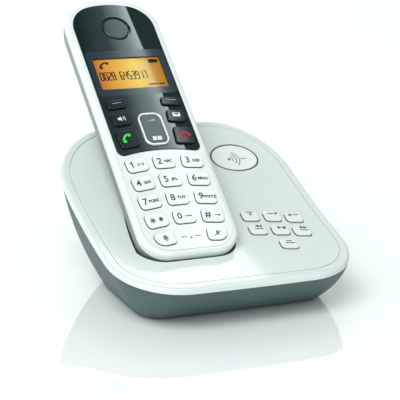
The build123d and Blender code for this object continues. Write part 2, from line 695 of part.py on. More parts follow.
def battery_contacts():
    plates = []
    for side in (-1, 1):
        u = side * CELL_U
        for wall, cell_end, inward in ((BAY_V[0], CELL_V[0], 1), (BAY_DIVIDER, CELL_V[1], -1)):
            plate = block((u - 4.2, u + 4.2), sorted((wall, wall + 0.4 * inward)), (-20.8, -13.0))
            gap = abs(cell_end - wall) - 0.8
            post = Pos(u, wall + inward * gap / 2, CELL_W) * Rot(90, 0, 0) * Cone(2.4, 1.8, gap)
            plates.append(plate + post)
    return Compound(plates)


def handset_board():
    width, length = HANDSET_BOARD
    outline = Pos(0, HANDSET_BOARD_FOOT + length / 2) * rounded(width, length, 6)
    for u, v in HANDSET_SCREWS:
        outline -= Pos(u, v) * Circle(3)
    board = sunk(outline, BOARD_TOP, BOARD_TOP - BOARD_THICKNESS)
    shield = block((-14, 10), (92, 116), (BOARD_TOP - BOARD_THICKNESS - 2.4, BOARD_TOP - BOARD_THICKNESS))
    return board + shield


def dome_sheet():
    """Film with a snap dome under every push key."""
    outline = Pos(0, 50) * rounded(38, 76, 5)
    for u, v in HANDSET_SCREWS:
        outline -= Pos(u, v) * Circle(3)
    sheet = sunk(outline, BOARD_TOP + 0.15, BOARD_TOP)
    for outline_of, key, rise in handset_keys().values():
        middle = outline_of(key).center()
        sheet += Pos(middle.X, middle.Y, BOARD_TOP + DOME_RISE / 2) * Cone(2.4, 1.6, DOME_RISE)
    return sheet


def receiver():
    return Pos(*EARPIECE, -FACE_WALL - 1.6) * Cylinder(7.5, 3)


def ringer():
    return Pos(*RINGER, -19.2) * Cylinder(RINGER_RADIUS, 4.2)


def microphone():
    return Pos(*MICROPHONE, -FACE_WALL - 1.2) * Cylinder(2.5, 2.2)


def handset_screws():
    return Compound([Pos(u, v, BAY_FLOOR - HEAD_HEIGHT) * screw(6) for u, v in HANDSET_SCREWS])


# ---------------------------------------------------------------- export
BASE_PIECES = {
    "base_top_cover": base_top_cover, "base_bottom_housing": base_bottom_housing, "feet": feet,
    "base_screws": base_screws, "oval_badge": oval_badge, "cradle_contacts": cradle_contacts,
    "base_main_board": base_main_board, "base_key_board": base_key_board,
    "base_key_switches": base_key_switches, "base_loudspeaker": base_loudspeaker,
}
HANDSET_PIECES = {
    "handset_front_shell": handset_front_shell, "handset_back_shell": handset_back_shell,
    "battery_cover": battery_cover, "front_panel": front_panel, "display_lens": display_lens,
    "display_module": display_module, "earpiece_cap": earpiece_cap, "nav_ring": nav_ring,
    "nav_rocker": nav_rocker, "dome_sheet": dome_sheet, "handset_board": handset_board,
    "receiver": receiver, "ringer": ringer, "microphone": microphone,
    "battery_cells": battery_cells, "battery_contacts": battery_contacts,
    "handset_contacts": handset_contacts, "handset_screws": handset_screws,
}


def all_pieces():
    """Every piece by its node name, in base coordinates."""
    pieces = {name: make() for name, make in BASE_PIECES.items()}
    pieces["line_jack"] = jack(LINE_JACK, LINE_MOUTH, LINE_JACK_X)
    pieces["power_jack"] = jack(POWER_JACK, POWER_MOUTH, POWER_JACK_X)
    for name in BASE_KEYS:
        pieces[name.replace("key_", "base_key_")] = base_key(name)
    for name, make in HANDSET_PIECES.items():
        pieces[name] = HANDSET * make()
    for name, (outline, key, rise) in handset_keys().items():
        pieces[name] = HANDSET * handset_key(outline, key, rise)
    return pieces


os.makedirs("parts", exist_ok=True)
for node, piece in all_pieces().items():
    export_step(Pos(0, -OVERALL_MIDDLE_Y, 0) * piece, f"parts/{node}.step")
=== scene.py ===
"""Looks for the cordless phone in its answering base.

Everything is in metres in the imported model's frame. Print and small marks are drawn in millimetres
on one of two surfaces: the handset's front (u to the right, v up the handset, w out of the face)
or the base's crowned top (x and y in plan, w above the top).
"""

import json
from math import cos, degrees, pi, radians, sin, sqrt

import bmesh
import bpy
from mathutils import Matrix, Vector


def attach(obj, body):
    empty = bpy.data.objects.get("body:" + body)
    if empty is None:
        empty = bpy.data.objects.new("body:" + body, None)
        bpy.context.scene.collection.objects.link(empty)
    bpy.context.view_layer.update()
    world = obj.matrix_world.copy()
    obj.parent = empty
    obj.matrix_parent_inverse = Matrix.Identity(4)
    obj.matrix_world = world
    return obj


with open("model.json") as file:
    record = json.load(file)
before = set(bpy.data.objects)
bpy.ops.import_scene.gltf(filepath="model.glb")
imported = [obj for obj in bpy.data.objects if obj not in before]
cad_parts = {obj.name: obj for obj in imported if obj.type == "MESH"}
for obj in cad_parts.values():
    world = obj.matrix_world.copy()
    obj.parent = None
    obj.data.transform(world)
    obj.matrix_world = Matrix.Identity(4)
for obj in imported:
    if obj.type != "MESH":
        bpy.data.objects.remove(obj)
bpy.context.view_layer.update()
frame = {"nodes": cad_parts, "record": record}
MM = 0.001

# ------------------------------------------------------------------ the two surfaces, in metres
RECLINE = radians(52.66)                       # the handset leans back this far from upright
FACE_ORIGIN = Vector((-0.0187, -0.053365, 0.0278))     # on the middle line of its front face
FACE_U = Vector((1, 0, 0))
FACE_V = Vector((0, sin(RECLINE), cos(RECLINE)))
FACE_W = Vector((0, -cos(RECLINE), sin(RECLINE)))

BASE_SHIFT_Y = -14.415                         # middle of the base, millimetres
RAMP_RADIUS = 329.3                            # side view of the top surface is an arc
RAMP_AXIS = (-108.0, 344.3)
CROWN_RADIUS = 2000.0
TOP_LIFT = 2.9

DISPLAY_MIDDLE_V = 105.1                       # the amber window in the handset's face, millimetres
DISPLAY_SIZE = (33.8, 18.8)
CELL_HALF = 17.0                               # half the lit width behind it


def on_face(u, v, w):
    return FACE_ORIGIN + (FACE_U * u + FACE_V * v + FACE_W * w) * MM


def on_top(x, y, w):
    """A point w above the base's top surface, straight up."""
    radius = RAMP_RADIUS - TOP_LIFT - w + CROWN_RADIUS - sqrt(CROWN_RADIUS**2 - x**2)
    height = RAMP_AXIS[1] - sqrt(radius**2 - (y - RAMP_AXIS[0])**2)
    return Vector((x, y + BASE_SHIFT_Y, height)) * MM


# ------------------------------------------------------------------ camera
CAMERA_AT = Vector((-0.29525, -0.64257, 0.25228))
CAMERA_TURN = radians(25.09)                   # to the right of straight back
CAMERA_DROP = radians(16.95)
CAMERA_ROLL = radians(2.43)
CAMERA_LENS = 142.66                           # millimetres on a 36 mm wide picture

camera = bpy.data.objects.new("camera", bpy.data.cameras.new("camera"))
bpy.context.collection.objects.link(camera)
camera.data.lens = CAMERA_LENS
camera.data.sensor_width = 36.0
camera.location = CAMERA_AT
camera.rotation_euler = (
    Matrix.Rotation(-CAMERA_TURN, 3, "Z")
    @ Matrix.Rotation(pi / 2 - CAMERA_DROP, 3, "X")
    @ Matrix.Rotation(CAMERA_ROLL, 3, "Z")
).to_euler()
bpy.context.scene.camera = camera
bpy.context.scene.view_settings.view_transform = "Standard"


# ------------------------------------------------------------------ materials
def new_material(name, **values):
    """A Principled material; values are set on the shader's own sockets."""
    material = bpy.data.materials.new(name)
    material.use_nodes = True
    shader = material.node_tree.nodes["Principled BSDF"]
    for socket, value in values.items():
        shader.inputs[socket.replace("_", " ")].default_value = value
    return material, material.node_tree, shader


def add_node(tree, kind, inputs=None, **settings):
    node = tree.nodes.new(kind)
    for name, value in settings.items():
        setattr(node, name, value)
    for name, value in (inputs or {}).items():
        if isinstance(value, bpy.types.NodeSocket):
            tree.links.new(value, node.inputs[name])
        else:
            node.inputs[name].default_value = value
    return node


def object_point(tree):
    return tree.nodes.new("ShaderNodeTexCoord").outputs["Object"]


def noise(tree, scale, detail=2.0, stretch=None):
    """Noise in the piece's own space; scale counts features per metre."""
    point = object_point(tree)
    if stretch:
        mapping = add_node(tree, "ShaderNodeMapping", {"Vector": point, "Scale": stretch})
        point = mapping.outputs["Vector"]
    return add_node(tree, "ShaderNodeTexNoise", {"Vector": point, "Scale": scale, "Detail": detail})


def ramp(tree, factor, stops):
    """Colour ramp with (position, colour) stops."""
    node = add_node(tree, "ShaderNodeValToRGB", {"Fac": factor})
    elements = node.color_ramp.elements
    while len(elements) < len(stops):
        elements.new(0.5)
    for element, (position, colour) in zip(elements, stops):
        element.position = position
        element.color = (*colour, 1.0) if len(colour) == 3 else colour
    return node.outputs["Color"]


def map_range(tree, value, source, target):
    node = add_node(tree, "ShaderNodeMapRange", {
        "Value": value, "From Min": source[0], "From Max": source[1],
        "To Min": target[0], "To Max": target[1]})
    return node.outputs["Result"]


def add_bump(tree, shader, height, strength, distance):
    bump = add_node(tree, "ShaderNodeBump", {
        "Height": height, "Strength": strength, "Distance": distance})
    tree.links.new(bump.outputs["Normal"], shader.inputs["Normal"])


def tint(colour, share):
    return tuple(channel * share for channel in colour)


def moulded(name, colour, roughness, grain=900.0, bump=0.05, mottle=0.03, **values):
    """Moulded plastic: faint cloudy tone, fine skin and slightly uneven polish."""
    material, tree, shader = new_material(name, **values)
    cloud = noise(tree, 45.0, 3.0)
    tone = ramp(tree, cloud.outputs["Fac"], [(0.3, tint(colour, 1 - mottle)), (0.7, colour)])
    tree.links.new(tone, shader.inputs["Base Color"])
    skin = noise(tree, grain, 3.0)
    polish = map_range(tree, skin.outputs["Fac"], (0.3, 0.7), (roughness * 0.85, roughness * 1.2))
    tree.links.new(polish, shader.inputs["Roughness"])
    add_bump(tree, shader, skin.outputs["Fac"], bump, 0.00008)
    return material


def key_plastic(name, top, side, roughness, axis, **values):
    """Key cap with painted shade: the walls take a dark colour, standing in for the shade on the key's
    sides, which runs into the top's colour over the edge.
    """
    material, tree, shader = new_material(name, **values)
    coordinates = tree.nodes.new("ShaderNodeTexCoord")
    facing = add_node(tree, "ShaderNodeVectorMath", operation="DOT_PRODUCT")
    tree.links.new(coordinates.outputs["Normal"], facing.inputs[0])
    facing.inputs[1].default_value = axis
    # painted shade on the walls: faces turned away from the axis take the dark colour
    shade = ramp(tree, facing.outputs["Value"], [(0.12, side), (0.62, top)])
    cloud = noise(tree, 160.0, 2.0)
    worn = add_node(tree, "ShaderNodeMixRGB", {"Color1": shade, "Color2": (0.5, 0.53, 0.52, 1.0)})
    worn.blend_type = "MULTIPLY"
    amount = map_range(tree, cloud.outputs["Fac"], (0.4, 0.8), (0.0, 0.05))
    tree.links.new(amount, worn.inputs["Fac"])
    tree.links.new(worn.outputs["Color"], shader.inputs["Base Color"])
    skin = noise(tree, 1400.0, 3.0)
    polish = map_range(tree, skin.outputs["Fac"], (0.3, 0.7), (roughness * 0.8, roughness * 1.2))
    tree.links.new(polish, shader.inputs["Roughness"])
    add_bump(tree, shader, skin.outputs["Fac"], 0.04, 0.00006)
    return material


def metal(name, colour, roughness, stretch=(1.0, 1.0, 1.0), **values):
    """Plated or brushed metal with fine streaks."""
    material, tree, shader = new_material(name, Metallic=1.0, **values)
    streaks = noise(tree, 1500.0, 4.0, stretch)
    tone = ramp(tree, streaks.outputs["Fac"], [(0.3, tint(colour, 0.9)), (0.7, colour)])
    tree.links.new(tone, shader.inputs["Base Color"])
    polish = map_range(tree, streaks.outputs["Fac"], (0.3, 0.7), (roughness * 0.7, roughness * 1.3))
    tree.links.new(polish, shader.inputs["Roughness"])
    add_bump(tree, shader, streaks.outputs["Fac"], 0.04, 0.00003)
    return material


def flake_paint(name, colour, roughness):
    """Silver-grey paint with fine metallic flake."""
    material, tree, shader = new_material(name, Metallic=0.35)
    flakes = add_node(tree, "ShaderNodeTexVoronoi", {"Vector": object_point(tree), "Scale": 3500.0})
    tone = ramp(tree, flakes.outputs["Distance"], [(0.0, tint(colour, 1.15)), (0.8, tint(colour, 0.9))])
    tree.links.new(tone, shader.inputs["Base Color"])
    skin = noise(tree, 1800.0, 3.0)
    polish = map_range(tree, skin.outputs["Fac"], (0.3, 0.7), (roughness * 0.85, roughness * 1.15))
    tree.links.new(polish, shader.inputs["Roughness"])
    add_bump(tree, shader, skin.outputs["Fac"], 0.08, 0.00006)
    return material


CELL_GLASS = {"Specular_IOR_Level": 0.1, "Coat_Weight": 0.5, "Coat_Roughness": 0.03}


def amber_display(name):
    """Backlit cell under polished glass: deepest at its ends, paler in the middle."""
    material, tree, shader = new_material(name, Roughness=0.35, **CELL_GLASS)
    point = object_point(tree)
    split = add_node(tree, "ShaderNodeSeparateXYZ", {"Vector": point})
    left = FACE_ORIGIN.x - CELL_HALF * MM
    right = FACE_ORIGIN.x + CELL_HALF * MM
    across = map_range(tree, split.outputs["X"], (left, right), (0.0, 1.0))
    glow = ramp(tree, across, [
        (0.0, (0.42, 0.12, 0.015)), (0.2, (0.58, 0.25, 0.033)), (0.6, (0.68, 0.45, 0.07)),
        (0.85, (0.42, 0.21, 0.035)), (1.0, (0.36, 0.14, 0.018))])
    tree.links.new(glow, shader.inputs["Base Color"])
    tree.links.new(glow, shader.inputs["Emission Color"])
    grid = add_node(tree, "ShaderNodeTexVoronoi", {"Vector": point, "Scale": 2500.0})
    strength = map_range(tree, grid.outputs["Distance"], (0.0, 0.8), (0.20, 0.17))
    tree.links.new(strength, shader.inputs["Emission Strength"])
    return material


def clear_window(name):
    """Clear window, bloomed against reflection: it mirrors the room only at grazing angles."""
    material, tree, shader = new_material(name)
    tree.nodes.remove(shader)
    through = add_node(tree, "ShaderNodeBsdfTransparent", {"Color": (0.97, 0.98, 0.975, 1.0)})
    polish = add_node(tree, "ShaderNodeBsdfGlossy", {"Color": (1.0, 1.0, 1.0, 1.0), "Roughness": 0.0})
    weight = add_node(tree, "ShaderNodeLayerWeight", {"Blend": 0.5})
    share = map_range(tree, weight.outputs["Facing"], (0.35, 1.0), (0.0, 0.2))
    mix = add_node(tree, "ShaderNodeMixShader", {"Fac": share})
    tree.links.new(through.outputs["BSDF"], mix.inputs[1])
    tree.links.new(polish.outputs["BSDF"], mix.inputs[2])
    tree.links.new(mix.outputs["Shader"], tree.nodes["Material Output"].inputs["Surface"])
    return material


def ink(name, colour, roughness=0.45, **values):
    """Printed ink with a slightly broken edge to its tone."""
    material, tree, shader = new_material(name, Roughness=roughness, **values)
    speck = noise(tree, 2600.0, 2.0)
    tone = ramp(tree, speck.outputs["Fac"], [(0.3, tint(colour, 0.85)), (0.7, colour)])
    tree.links.new(tone, shader.inputs["Base Color"])
    return material


WHITE = (0.68, 0.735, 0.715)
# Painted shade on the walls of the white keys, standing in for the shade on their sides
KEY_WALL_PAINTED_SHADE = (0.10, 0.125, 0.12)
UP = (0.0, -0.25, 0.968)

white_plastic = moulded("white_plastic", WHITE, 0.08, bump=0.02)
# Painted shade: a darker copy of the same white plastic, dimming the base's whole top cover
base_white_painted_shade = moulded("base_white_painted_shade", (0.622, 0.688, 0.667), 0.08, bump=0.02)
white_key = key_plastic("white_key", tint(WHITE, 1.04), KEY_WALL_PAINTED_SHADE, 0.16, FACE_W)
base_key = key_plastic("base_key", tint(WHITE, 1.0), KEY_WALL_PAINTED_SHADE, 0.16, UP)
dark_plastic = moulded("dark_plastic", (0.060, 0.108, 0.105), 0.5, grain=1500.0, bump=0.35, mottle=0.08)
silver_plastic = flake_paint("silver_plastic", (0.212, 0.262, 0.257), 0.42)
black_gloss = moulded("black_gloss", (0.006, 0.016, 0.017), 0.012, bump=0.0, mottle=0.1)
# Black keys: walls painted darker than the tops, a painted shade on their sides
black_key = key_plastic("black_key", (0.006, 0.012, 0.013), (0.002, 0.004, 0.004), 0.07, FACE_W,
                        Specular_IOR_Level=0.35)
nav_plastic = moulded("nav_plastic", (0.085, 0.115, 0.118), 0.22, bump=0.05, mottle=0.08)
earpiece_plastic = moulded("earpiece_plastic", (0.012, 0.024, 0.026), 0.1, grain=1500.0, bump=0.05)
ring_chrome = moulded("ring_chrome", (0.86, 0.90, 0.90), 0.25, mottle=0.02, Metallic=0.35)
badge_plastic = moulded("badge_plastic", tint(WHITE, 1.06), 0.08, bump=0.02)
foot_rubber = moulded("foot_rubber", (0.03, 0.03, 0.03), 0.75, grain=1200.0, bump=0.5, mottle=0.2)
screw_steel = metal("screw_steel", (0.55, 0.56, 0.57), 0.3, (1.0, 1.0, 0.1))
contact_metal = metal("contact_metal", (0.85, 0.68, 0.36), 0.22)
circuit_board = moulded("circuit_board", (0.02, 0.13, 0.06), 0.35, grain=600.0, bump=0.2, mottle=0.25)
switch_plastic = moulded("switch_plastic", (0.03, 0.03, 0.03), 0.5)
jack_plastic = moulded("jack_plastic", (0.025, 0.025, 0.027), 0.45, bump=0.15)
speaker_metal = metal("speaker_metal", (0.25, 0.25, 0.26), 0.45)
dome_film = moulded("dome_film", (0.62, 0.64, 0.6), 0.2, mottle=0.1)
cell_wrap = moulded("cell_wrap", (0.06, 0.22, 0.12), 0.3, mottle=0.2)
display_cell = amber_display("display_cell")
clear_lens = clear_window("clear_lens")

MATERIALS = {
    "white_plastic": white_plastic, "white_key": white_key, "dark_plastic": dark_plastic,
    "silver_plastic": silver_plastic, "black_gloss": black_gloss, "black_key": black_key,
    "nav_plastic": nav_plastic, "ring_chrome": ring_chrome, "clear_lens": clear_lens,
    "display_amber": display_cell, "badge_plastic": badge_plastic, "foot_rubber": foot_rubber,
    "screw_steel": screw_steel, "contact_metal": contact_metal, "circuit_board": circuit_board,
    "switch_plastic": switch_plastic, "speaker_metal": speaker_metal, "jack_plastic": jack_plastic,
    "dome_film": dome_film, "cell_wrap": cell_wrap,
}


def dress(node, material):
    mesh = frame["nodes"][node].data
    mesh.materials.clear()
    mesh.materials.append(material)


for part in frame["record"]["subparts"]:
    node = part["node"]
    material = MATERIALS[part["material_slot"]]
    if node.startswith("base_key_") and part["material_slot"] == "white_key":
        material = base_key
    # the base's top cover takes the painted-shade copy of the white plastic
    if node == "base_top_cover":
        material = base_white_painted_shade
    if node == "earpiece_cap":
        material = earpiece_plastic
    dress(node, material)


# ------------------------------------------------------------------ print and small marks
DARK_INK = ink("dark_ink", (0.045, 0.058, 0.058))
GREY_INK = ink("grey_ink", (0.16, 0.19, 0.19))
LIGHT_INK = ink("light_ink", (0.75, 0.8, 0.8))
SILVER_INK = ink("silver_ink", (0.30, 0.36, 0.36))
# The green and red inks glow faintly though they are no lamp: a painted glow that brightens the signs
GREEN_INK_PAINTED_GLOW = ink("green_ink_painted_glow", (0.03, 0.55, 0.06), Emission_Color=(0.03, 0.8, 0.08, 1.0),
                Emission_Strength=0.25)
RED_INK_PAINTED_GLOW = ink("red_ink_painted_glow", (0.42, 0.012, 0.035), Emission_Color=(0.5, 0.01, 0.04, 1.0),
              Emission_Strength=0.12)
SEGMENT_INK = ink("segment_ink", (0.012, 0.008, 0.006), **CELL_GLASS)
BORDER_INK = ink("border_ink", (0.016, 0.030, 0.040), roughness=0.06)
PRINT_HEIGHT = 0.03


def outline(points, closed=True):
    """Straight-sided shape from points."""
    return {"points": points, "closed": closed}


def flat_shape(curve, shapes):
    for shape in shapes:
        points = shape["points"]
        spline = curve.splines.new("POLY")
        spline.points.add(len(points) - 1)
        for point, (x, y) in zip(spline.points, points):
            point.co = (x, y, 0, 1)
        spline.use_cyclic_u = shape["closed"]


def filled(shapes):
    """A flat filled curve; a shape inside another cuts a hole."""
    curve = bpy.data.curves.new("drawn", "CURVE")
    curve.dimensions = "2D"
    curve.fill_mode = "BOTH"
    flat_shape(curve, shapes)
    return curve


def lettering(text, height, middle, weight=0.022):
    """Figures or letters of the given capital height, about their middle."""
    curve = bpy.data.curves.new("drawn", "FONT")
    curve.body = text
    curve.size = height / 0.7
    curve.align_x = "CENTER"
    curve.align_y = "CENTER"
    curve.offset = weight * height
    curve.resolution_u = 3
    curve.offset_x, curve.offset_y = middle
    return curve


def turned(points, angle, middle=(0.0, 0.0)):
    c, s = cos(angle), sin(angle)
    return [(middle[0] + x * c - y * s, middle[1] + x * s + y * c) for x, y in points]


def arc_points(middle, radius, start, end, steps=14):
    angles = [radians(start + (end - start) * i / steps) for i in range(steps + 1)]
    return [(middle[0] + radius * cos(a), middle[1] + radius * sin(a)) for a in angles]


def bar(middle, length, width, angle=0.0):
    x, y = length / 2, width / 2
    return outline(turned([(-x, -y), (x, -y), (x, y), (-x, y)], angle, middle))


def disc(middle, radius):
    return outline(arc_points(middle, radius, 0, 345, 23))


def arc_band(middle, radius, width, start, end, steps=14):
    outer = arc_points(middle, radius + width / 2, start, end, steps)
    inner = arc_points(middle, radius - width / 2, end, start, steps)
    return outline(outer + inner)


def rounded_points(middle, width, height, radius, steps=6):
    points = []
    for turn, (sx, sy) in enumerate(((1, 1), (-1, 1), (-1, -1), (1, -1))):
        corner = (middle[0] + sx * (width / 2 - radius), middle[1] + sy * (height / 2 - radius))
        points += arc_points(corner, radius, 90 * turn, 90 * turn + 90, steps)
    return points


def printed(name, curves, surface, body, material, height=PRINT_HEIGHT, base=0.0):
    """Turns flat curves into thin print that lies on a surface and rides on a body."""
    joined = bmesh.new()
    for curve in curves:
        curve.extrude = height / 2
        holder = bpy.data.objects.new("drawn", curve)
        mesh = bpy.data.meshes.new_from_object(holder)
        joined.from_mesh(mesh)
        bpy.data.objects.remove(holder)
        bpy.data.meshes.remove(mesh)
    bmesh.ops.remove_doubles(joined, verts=joined.verts, dist=0.001)
    for vertex in joined.verts:
        x, y, z = vertex.co
        vertex.co = surface(x, y, base + z + height / 2)
    bmesh.ops.recalc_face_normals(joined, faces=joined.faces)
    mesh = bpy.data.meshes.new(name)
    joined.to_mesh(mesh)
    joined.free()
    mesh.materials.append(material)
    piece = bpy.data.objects.new(name, mesh)
    bpy.context.collection.objects.link(piece)
    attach(piece, body)
    return piece


def on_key(middle, turn=0.0):
    """A surface whose origin is a key's middle on the handset's face, turned in degrees."""
    c, s = cos(radians(turn)), sin(radians(turn))

    def place(x, y, w):
        return on_face(middle[0] + x * c - y * s, middle[1] + x * s + y * c, w)
    return place


# Dial keys: figure on the left, small letters on the right, level with each other.
KEY_PITCH = 13.5
ROW_PITCH = 10.18
FIRST_ROW = 52.3
ROW_ARCH = 0.0044                              # rows sag towards both sides: u squared times this
KEY_FAN = 0.0088                               # radians that a key is turned per millimetre of u
KEY_RISE = 0.9                                 # top of a key above the face
DIAL = [("key_1", "1", ""), ("key_2", "2", "ABC"), ("key_3", "3", "DEF"),
        ("key_4", "4", "GHI"), ("key_5", "5", "JKL"), ("key_6", "6", "MNO"),
        ("key_7", "7", "PQRS"), ("key_8", "8", "TUV"), ("key_9", "9", "WXYZ"),
        ("key_star", "", ""), ("key_0", "0", ""), ("key_hash", "#", "")]
FIGURE_HEIGHT = 3.3
LETTER_HEIGHT = 1.45
FIGURE_AT = (-2.3, 0.1)
LETTERS_AT = (1.8, -0.1)
FLAG_AT = (-2.75, 1.25)                        # upstroke of the figure one


def loop_sign(middle, scale=1.0):
    """Two small rings side by side: the sign for recorded messages."""
    x, y = middle
    rings = []
    for side in (-1, 1):
        centre = (x + side * scale, y)
        rings += [outline(arc_points(centre, 0.68 * scale, 0, 345, 23)),
                  outline(arc_points(centre, 0.30 * scale, 0, 345, 23))]
    return rings


def bell(middle, scale=1.0):
    x, y = middle
    dome = arc_points((x, y), 0.75 * scale, 0, 180, 10)
    foot = [(x - 0.75 * scale, y - 0.7 * scale), (x - 1.1 * scale, y - 0.95 * scale),
            (x + 1.1 * scale, y - 0.95 * scale), (x + 0.75 * scale, y - 0.7 * scale)]
    return [outline(dome + foot), disc((x, y - 1.3 * scale), 0.26 * scale)]


def star(middle, radius, width):
    return [bar(middle, 2 * radius, width, radians(90 + 60 * i)) for i in range(3)]


for index, (node, figure, letters) in enumerate(DIAL):
    u = (index % 3 - 1) * KEY_PITCH
    v = FIRST_ROW - (index // 3) * ROW_PITCH - ROW_ARCH * u**2
    place = on_key((u, v), degrees(-KEY_FAN * u))
    figures = []
    marks = []
    if figure:
        figures.append(lettering(figure, FIGURE_HEIGHT, FIGURE_AT, weight=0.03))
    if letters:
        marks.append(lettering(letters, LETTER_HEIGHT, LETTERS_AT, weight=0.07))
    if node == "key_1":
        figures.append(filled([bar(FLAG_AT, 1.3, 0.5, radians(38))]))
        marks.append(filled(loop_sign(LETTERS_AT, 1.0)))
    if node == "key_0":
        marks.append(filled([bar(LETTERS_AT, 3.4, 0.5)]))
    if node == "key_hash":
        marks.append(filled([bar((1.6, -0.1), 1.8, 0.45), disc((3.0, -0.1), 0.5)]))
    if node == "key_star":
        figures += [filled([shape]) for shape in star((-1.9, 0.1), 1.45, 0.5)]
        marks.append(filled(bell((2.1, 0.35), 1.1)))
    printed(f"figure_{node}", figures, place, node, DARK_INK, base=KEY_RISE)
    printed(f"marks_{node}", marks, place, node, DARK_INK, base=KEY_RISE)

# Panel keys: receivers for talk and end, a loudspeaker, an envelope and two plain dashes.
PANEL_RISE = 1.3                               # top of a panel key above the face


def receiver_sign(middle, scale, turn):
    """A telephone receiver: a curved grip with two pads."""
    grip = arc_band((0, -1.7 * scale), 4.1 * scale, 1.0 * scale, 54, 126, 12)
    pads = [bar((2.3 * scale * side, 1.1 * scale), 1.45 * scale, 1.6 * scale, radians(-34 * side))
            for side in (-1, 1)]
    shapes = [grip, *pads]
    return [filled([outline(turned(shape["points"], radians(turn), middle))]) for shape in shapes]


def power_sign(middle):
    """An open ring with a stroke through its gap."""
    x, y = middle
    return [filled([arc_band(middle, 0.95, 0.36, -235, 55)]), filled([bar((x, y + 0.8), 0.36, 1.1)])]


def loudspeaker_sign(middle):
    x, y = middle
    horn = [(x - 1.9, y - 0.55), (x - 1.1, y - 0.55), (x - 0.1, y - 1.4),
            (x - 0.1, y + 1.4), (x - 1.1, y + 0.55), (x - 1.9, y + 0.55)]
    waves = [arc_band((x - 0.1, y), radius, 0.3, -42, 42) for radius in (1.0, 1.8)]
    return [filled([outline(horn)])] + [filled([wave]) for wave in waves]


def envelope_sign(middle):
    x, y = middle
    box = outline([(x - 1.8, y - 1.15), (x + 1.8, y - 1.15), (x + 1.8, y + 1.15), (x - 1.8, y + 1.15)])
    flap = outline([(x - 1.45, y + 0.85), (x, y - 0.35), (x + 1.45, y + 0.85)])
    return [filled([box, flap])]


PANEL_MARKS = [
    ("softkey_left", (-13.2, 86.2), 6.0, [filled([bar((0.3, 0.6), 4.6, 0.34)])], SILVER_INK),
    ("softkey_right", (13.8, 86.2), -6.0, [filled([bar((0.3, 0.6), 4.6, 0.34)])], SILVER_INK),
    ("speaker_key", (-13.4, 77.4), 6.0, loudspeaker_sign((0.2, 0.2)), LIGHT_INK),
    ("message_key", (13.9, 77.4), -6.0, envelope_sign((0.1, 0.5)), LIGHT_INK),
    ("talk_key", (-13.6, 66.0), 6.0, receiver_sign((0.4, -0.4), 0.95, 45), GREEN_INK_PAINTED_GLOW),
    ("end_key", (14.1, 66.0), -6.0, receiver_sign((0.2, -0.9), 0.95, 0) + power_sign((0.2, -2.0)),
     RED_INK_PAINTED_GLOW),
]
for node, middle, turn, curves, material in PANEL_MARKS:
    printed(f"sign_{node}", curves, on_key(middle, turn), node, material,
            base=PANEL_RISE)

# Keys at the foot and the microphone: a bell for the alarm key, a struck-out bar for mute.
LOWER_MIDDLE = (12.5, 11.0)
alarm_curves = [filled(bell((0.2, 0.6), 1.4))]
mute_curves = [filled([bar((0, 0), 4.4, 0.4, radians(38))]),
               filled([outline(rounded_points((0, 0.35), 1.3, 2.4, 0.6))])]
printed("sign_alarm_key", alarm_curves, on_key((-LOWER_MIDDLE[0], LOWER_MIDDLE[1]), 6.0),
        "alarm_key", GREY_INK, base=KEY_RISE)
printed("sign_mute_key", mute_curves, on_key(LOWER_MIDDLE, -6.0),
        "mute_key", GREY_INK, base=KEY_RISE)
mic_curves = [filled([bar((side * 3.4, 0.6), 2.6, 0.5)]) for side in (-1, 1)]
printed("mark_microphone", mic_curves, on_key((0, 10.8)), "handset", GREY_INK)

# Navigation rocker: a volume wedge above and an open book below.
NAV_MIDDLE = (0.6, 70.9)
NAV_TOP = 1.15
wedge = [filled([outline([(-2.0, 4.3), (2.0, 4.3), (2.0, 5.7)])])]
book = [filled([outline(rounded_points((side * 1.2, -5.6), 2.0, 2.2, 0.35))]) for side in (-1, 1)]
printed("sign_volume", wedge, on_key(NAV_MIDDLE), "nav_rocker", SILVER_INK,
        base=NAV_TOP)
printed("sign_book", book, on_key(NAV_MIDDLE), "nav_rocker", LIGHT_INK,
        base=NAV_TOP)

# ------------------------------------------------------------------ display
CELL_TOP = -0.6
PRINT_GAP = 0.005
PRINT_FILM = 0.02
SEGMENTS = {"0": "abcdef", "1": "bc", "2": "abged", "3": "abgcd", "4": "fgbc", "5": "afgcd",
            "6": "afgedc", "7": "abc", "8": "abcdefg", "9": "abcdfg"}
DISPLAY_NUMBER = "0028 6453917"
NUMBER_LEFT, NUMBER_FOOT = -15.2, 101.9
DIGIT_PITCH = 1.98
DIGIT_SIZE = (1.3, 4.6)
DIGIT_LINE = 0.56


def segment_digit(character, left, foot):
    """Seven-segment figure; the letters name its bars as is usual."""
    width, height = DIGIT_SIZE
    middle = left + width / 2
    half = height / 2
    bars = {
        "a": ((middle, foot + height), width, 0), "g": ((middle, foot + half), width, 0),
        "d": ((middle, foot), width, 0),
        "f": ((left, foot + 1.5 * half), half, 90), "b": ((left + width, foot + 1.5 * half), half, 90),
        "e": ((left, foot + 0.5 * half), half, 90), "c": ((left + width, foot + 0.5 * half), half, 90),
    }
    shapes = []
    for letter in SEGMENTS[character]:
        centre, length, angle = bars[letter]
        shapes.append(filled([bar(centre, length - 0.25 * DIGIT_LINE, DIGIT_LINE, radians(angle))]))
    return shapes


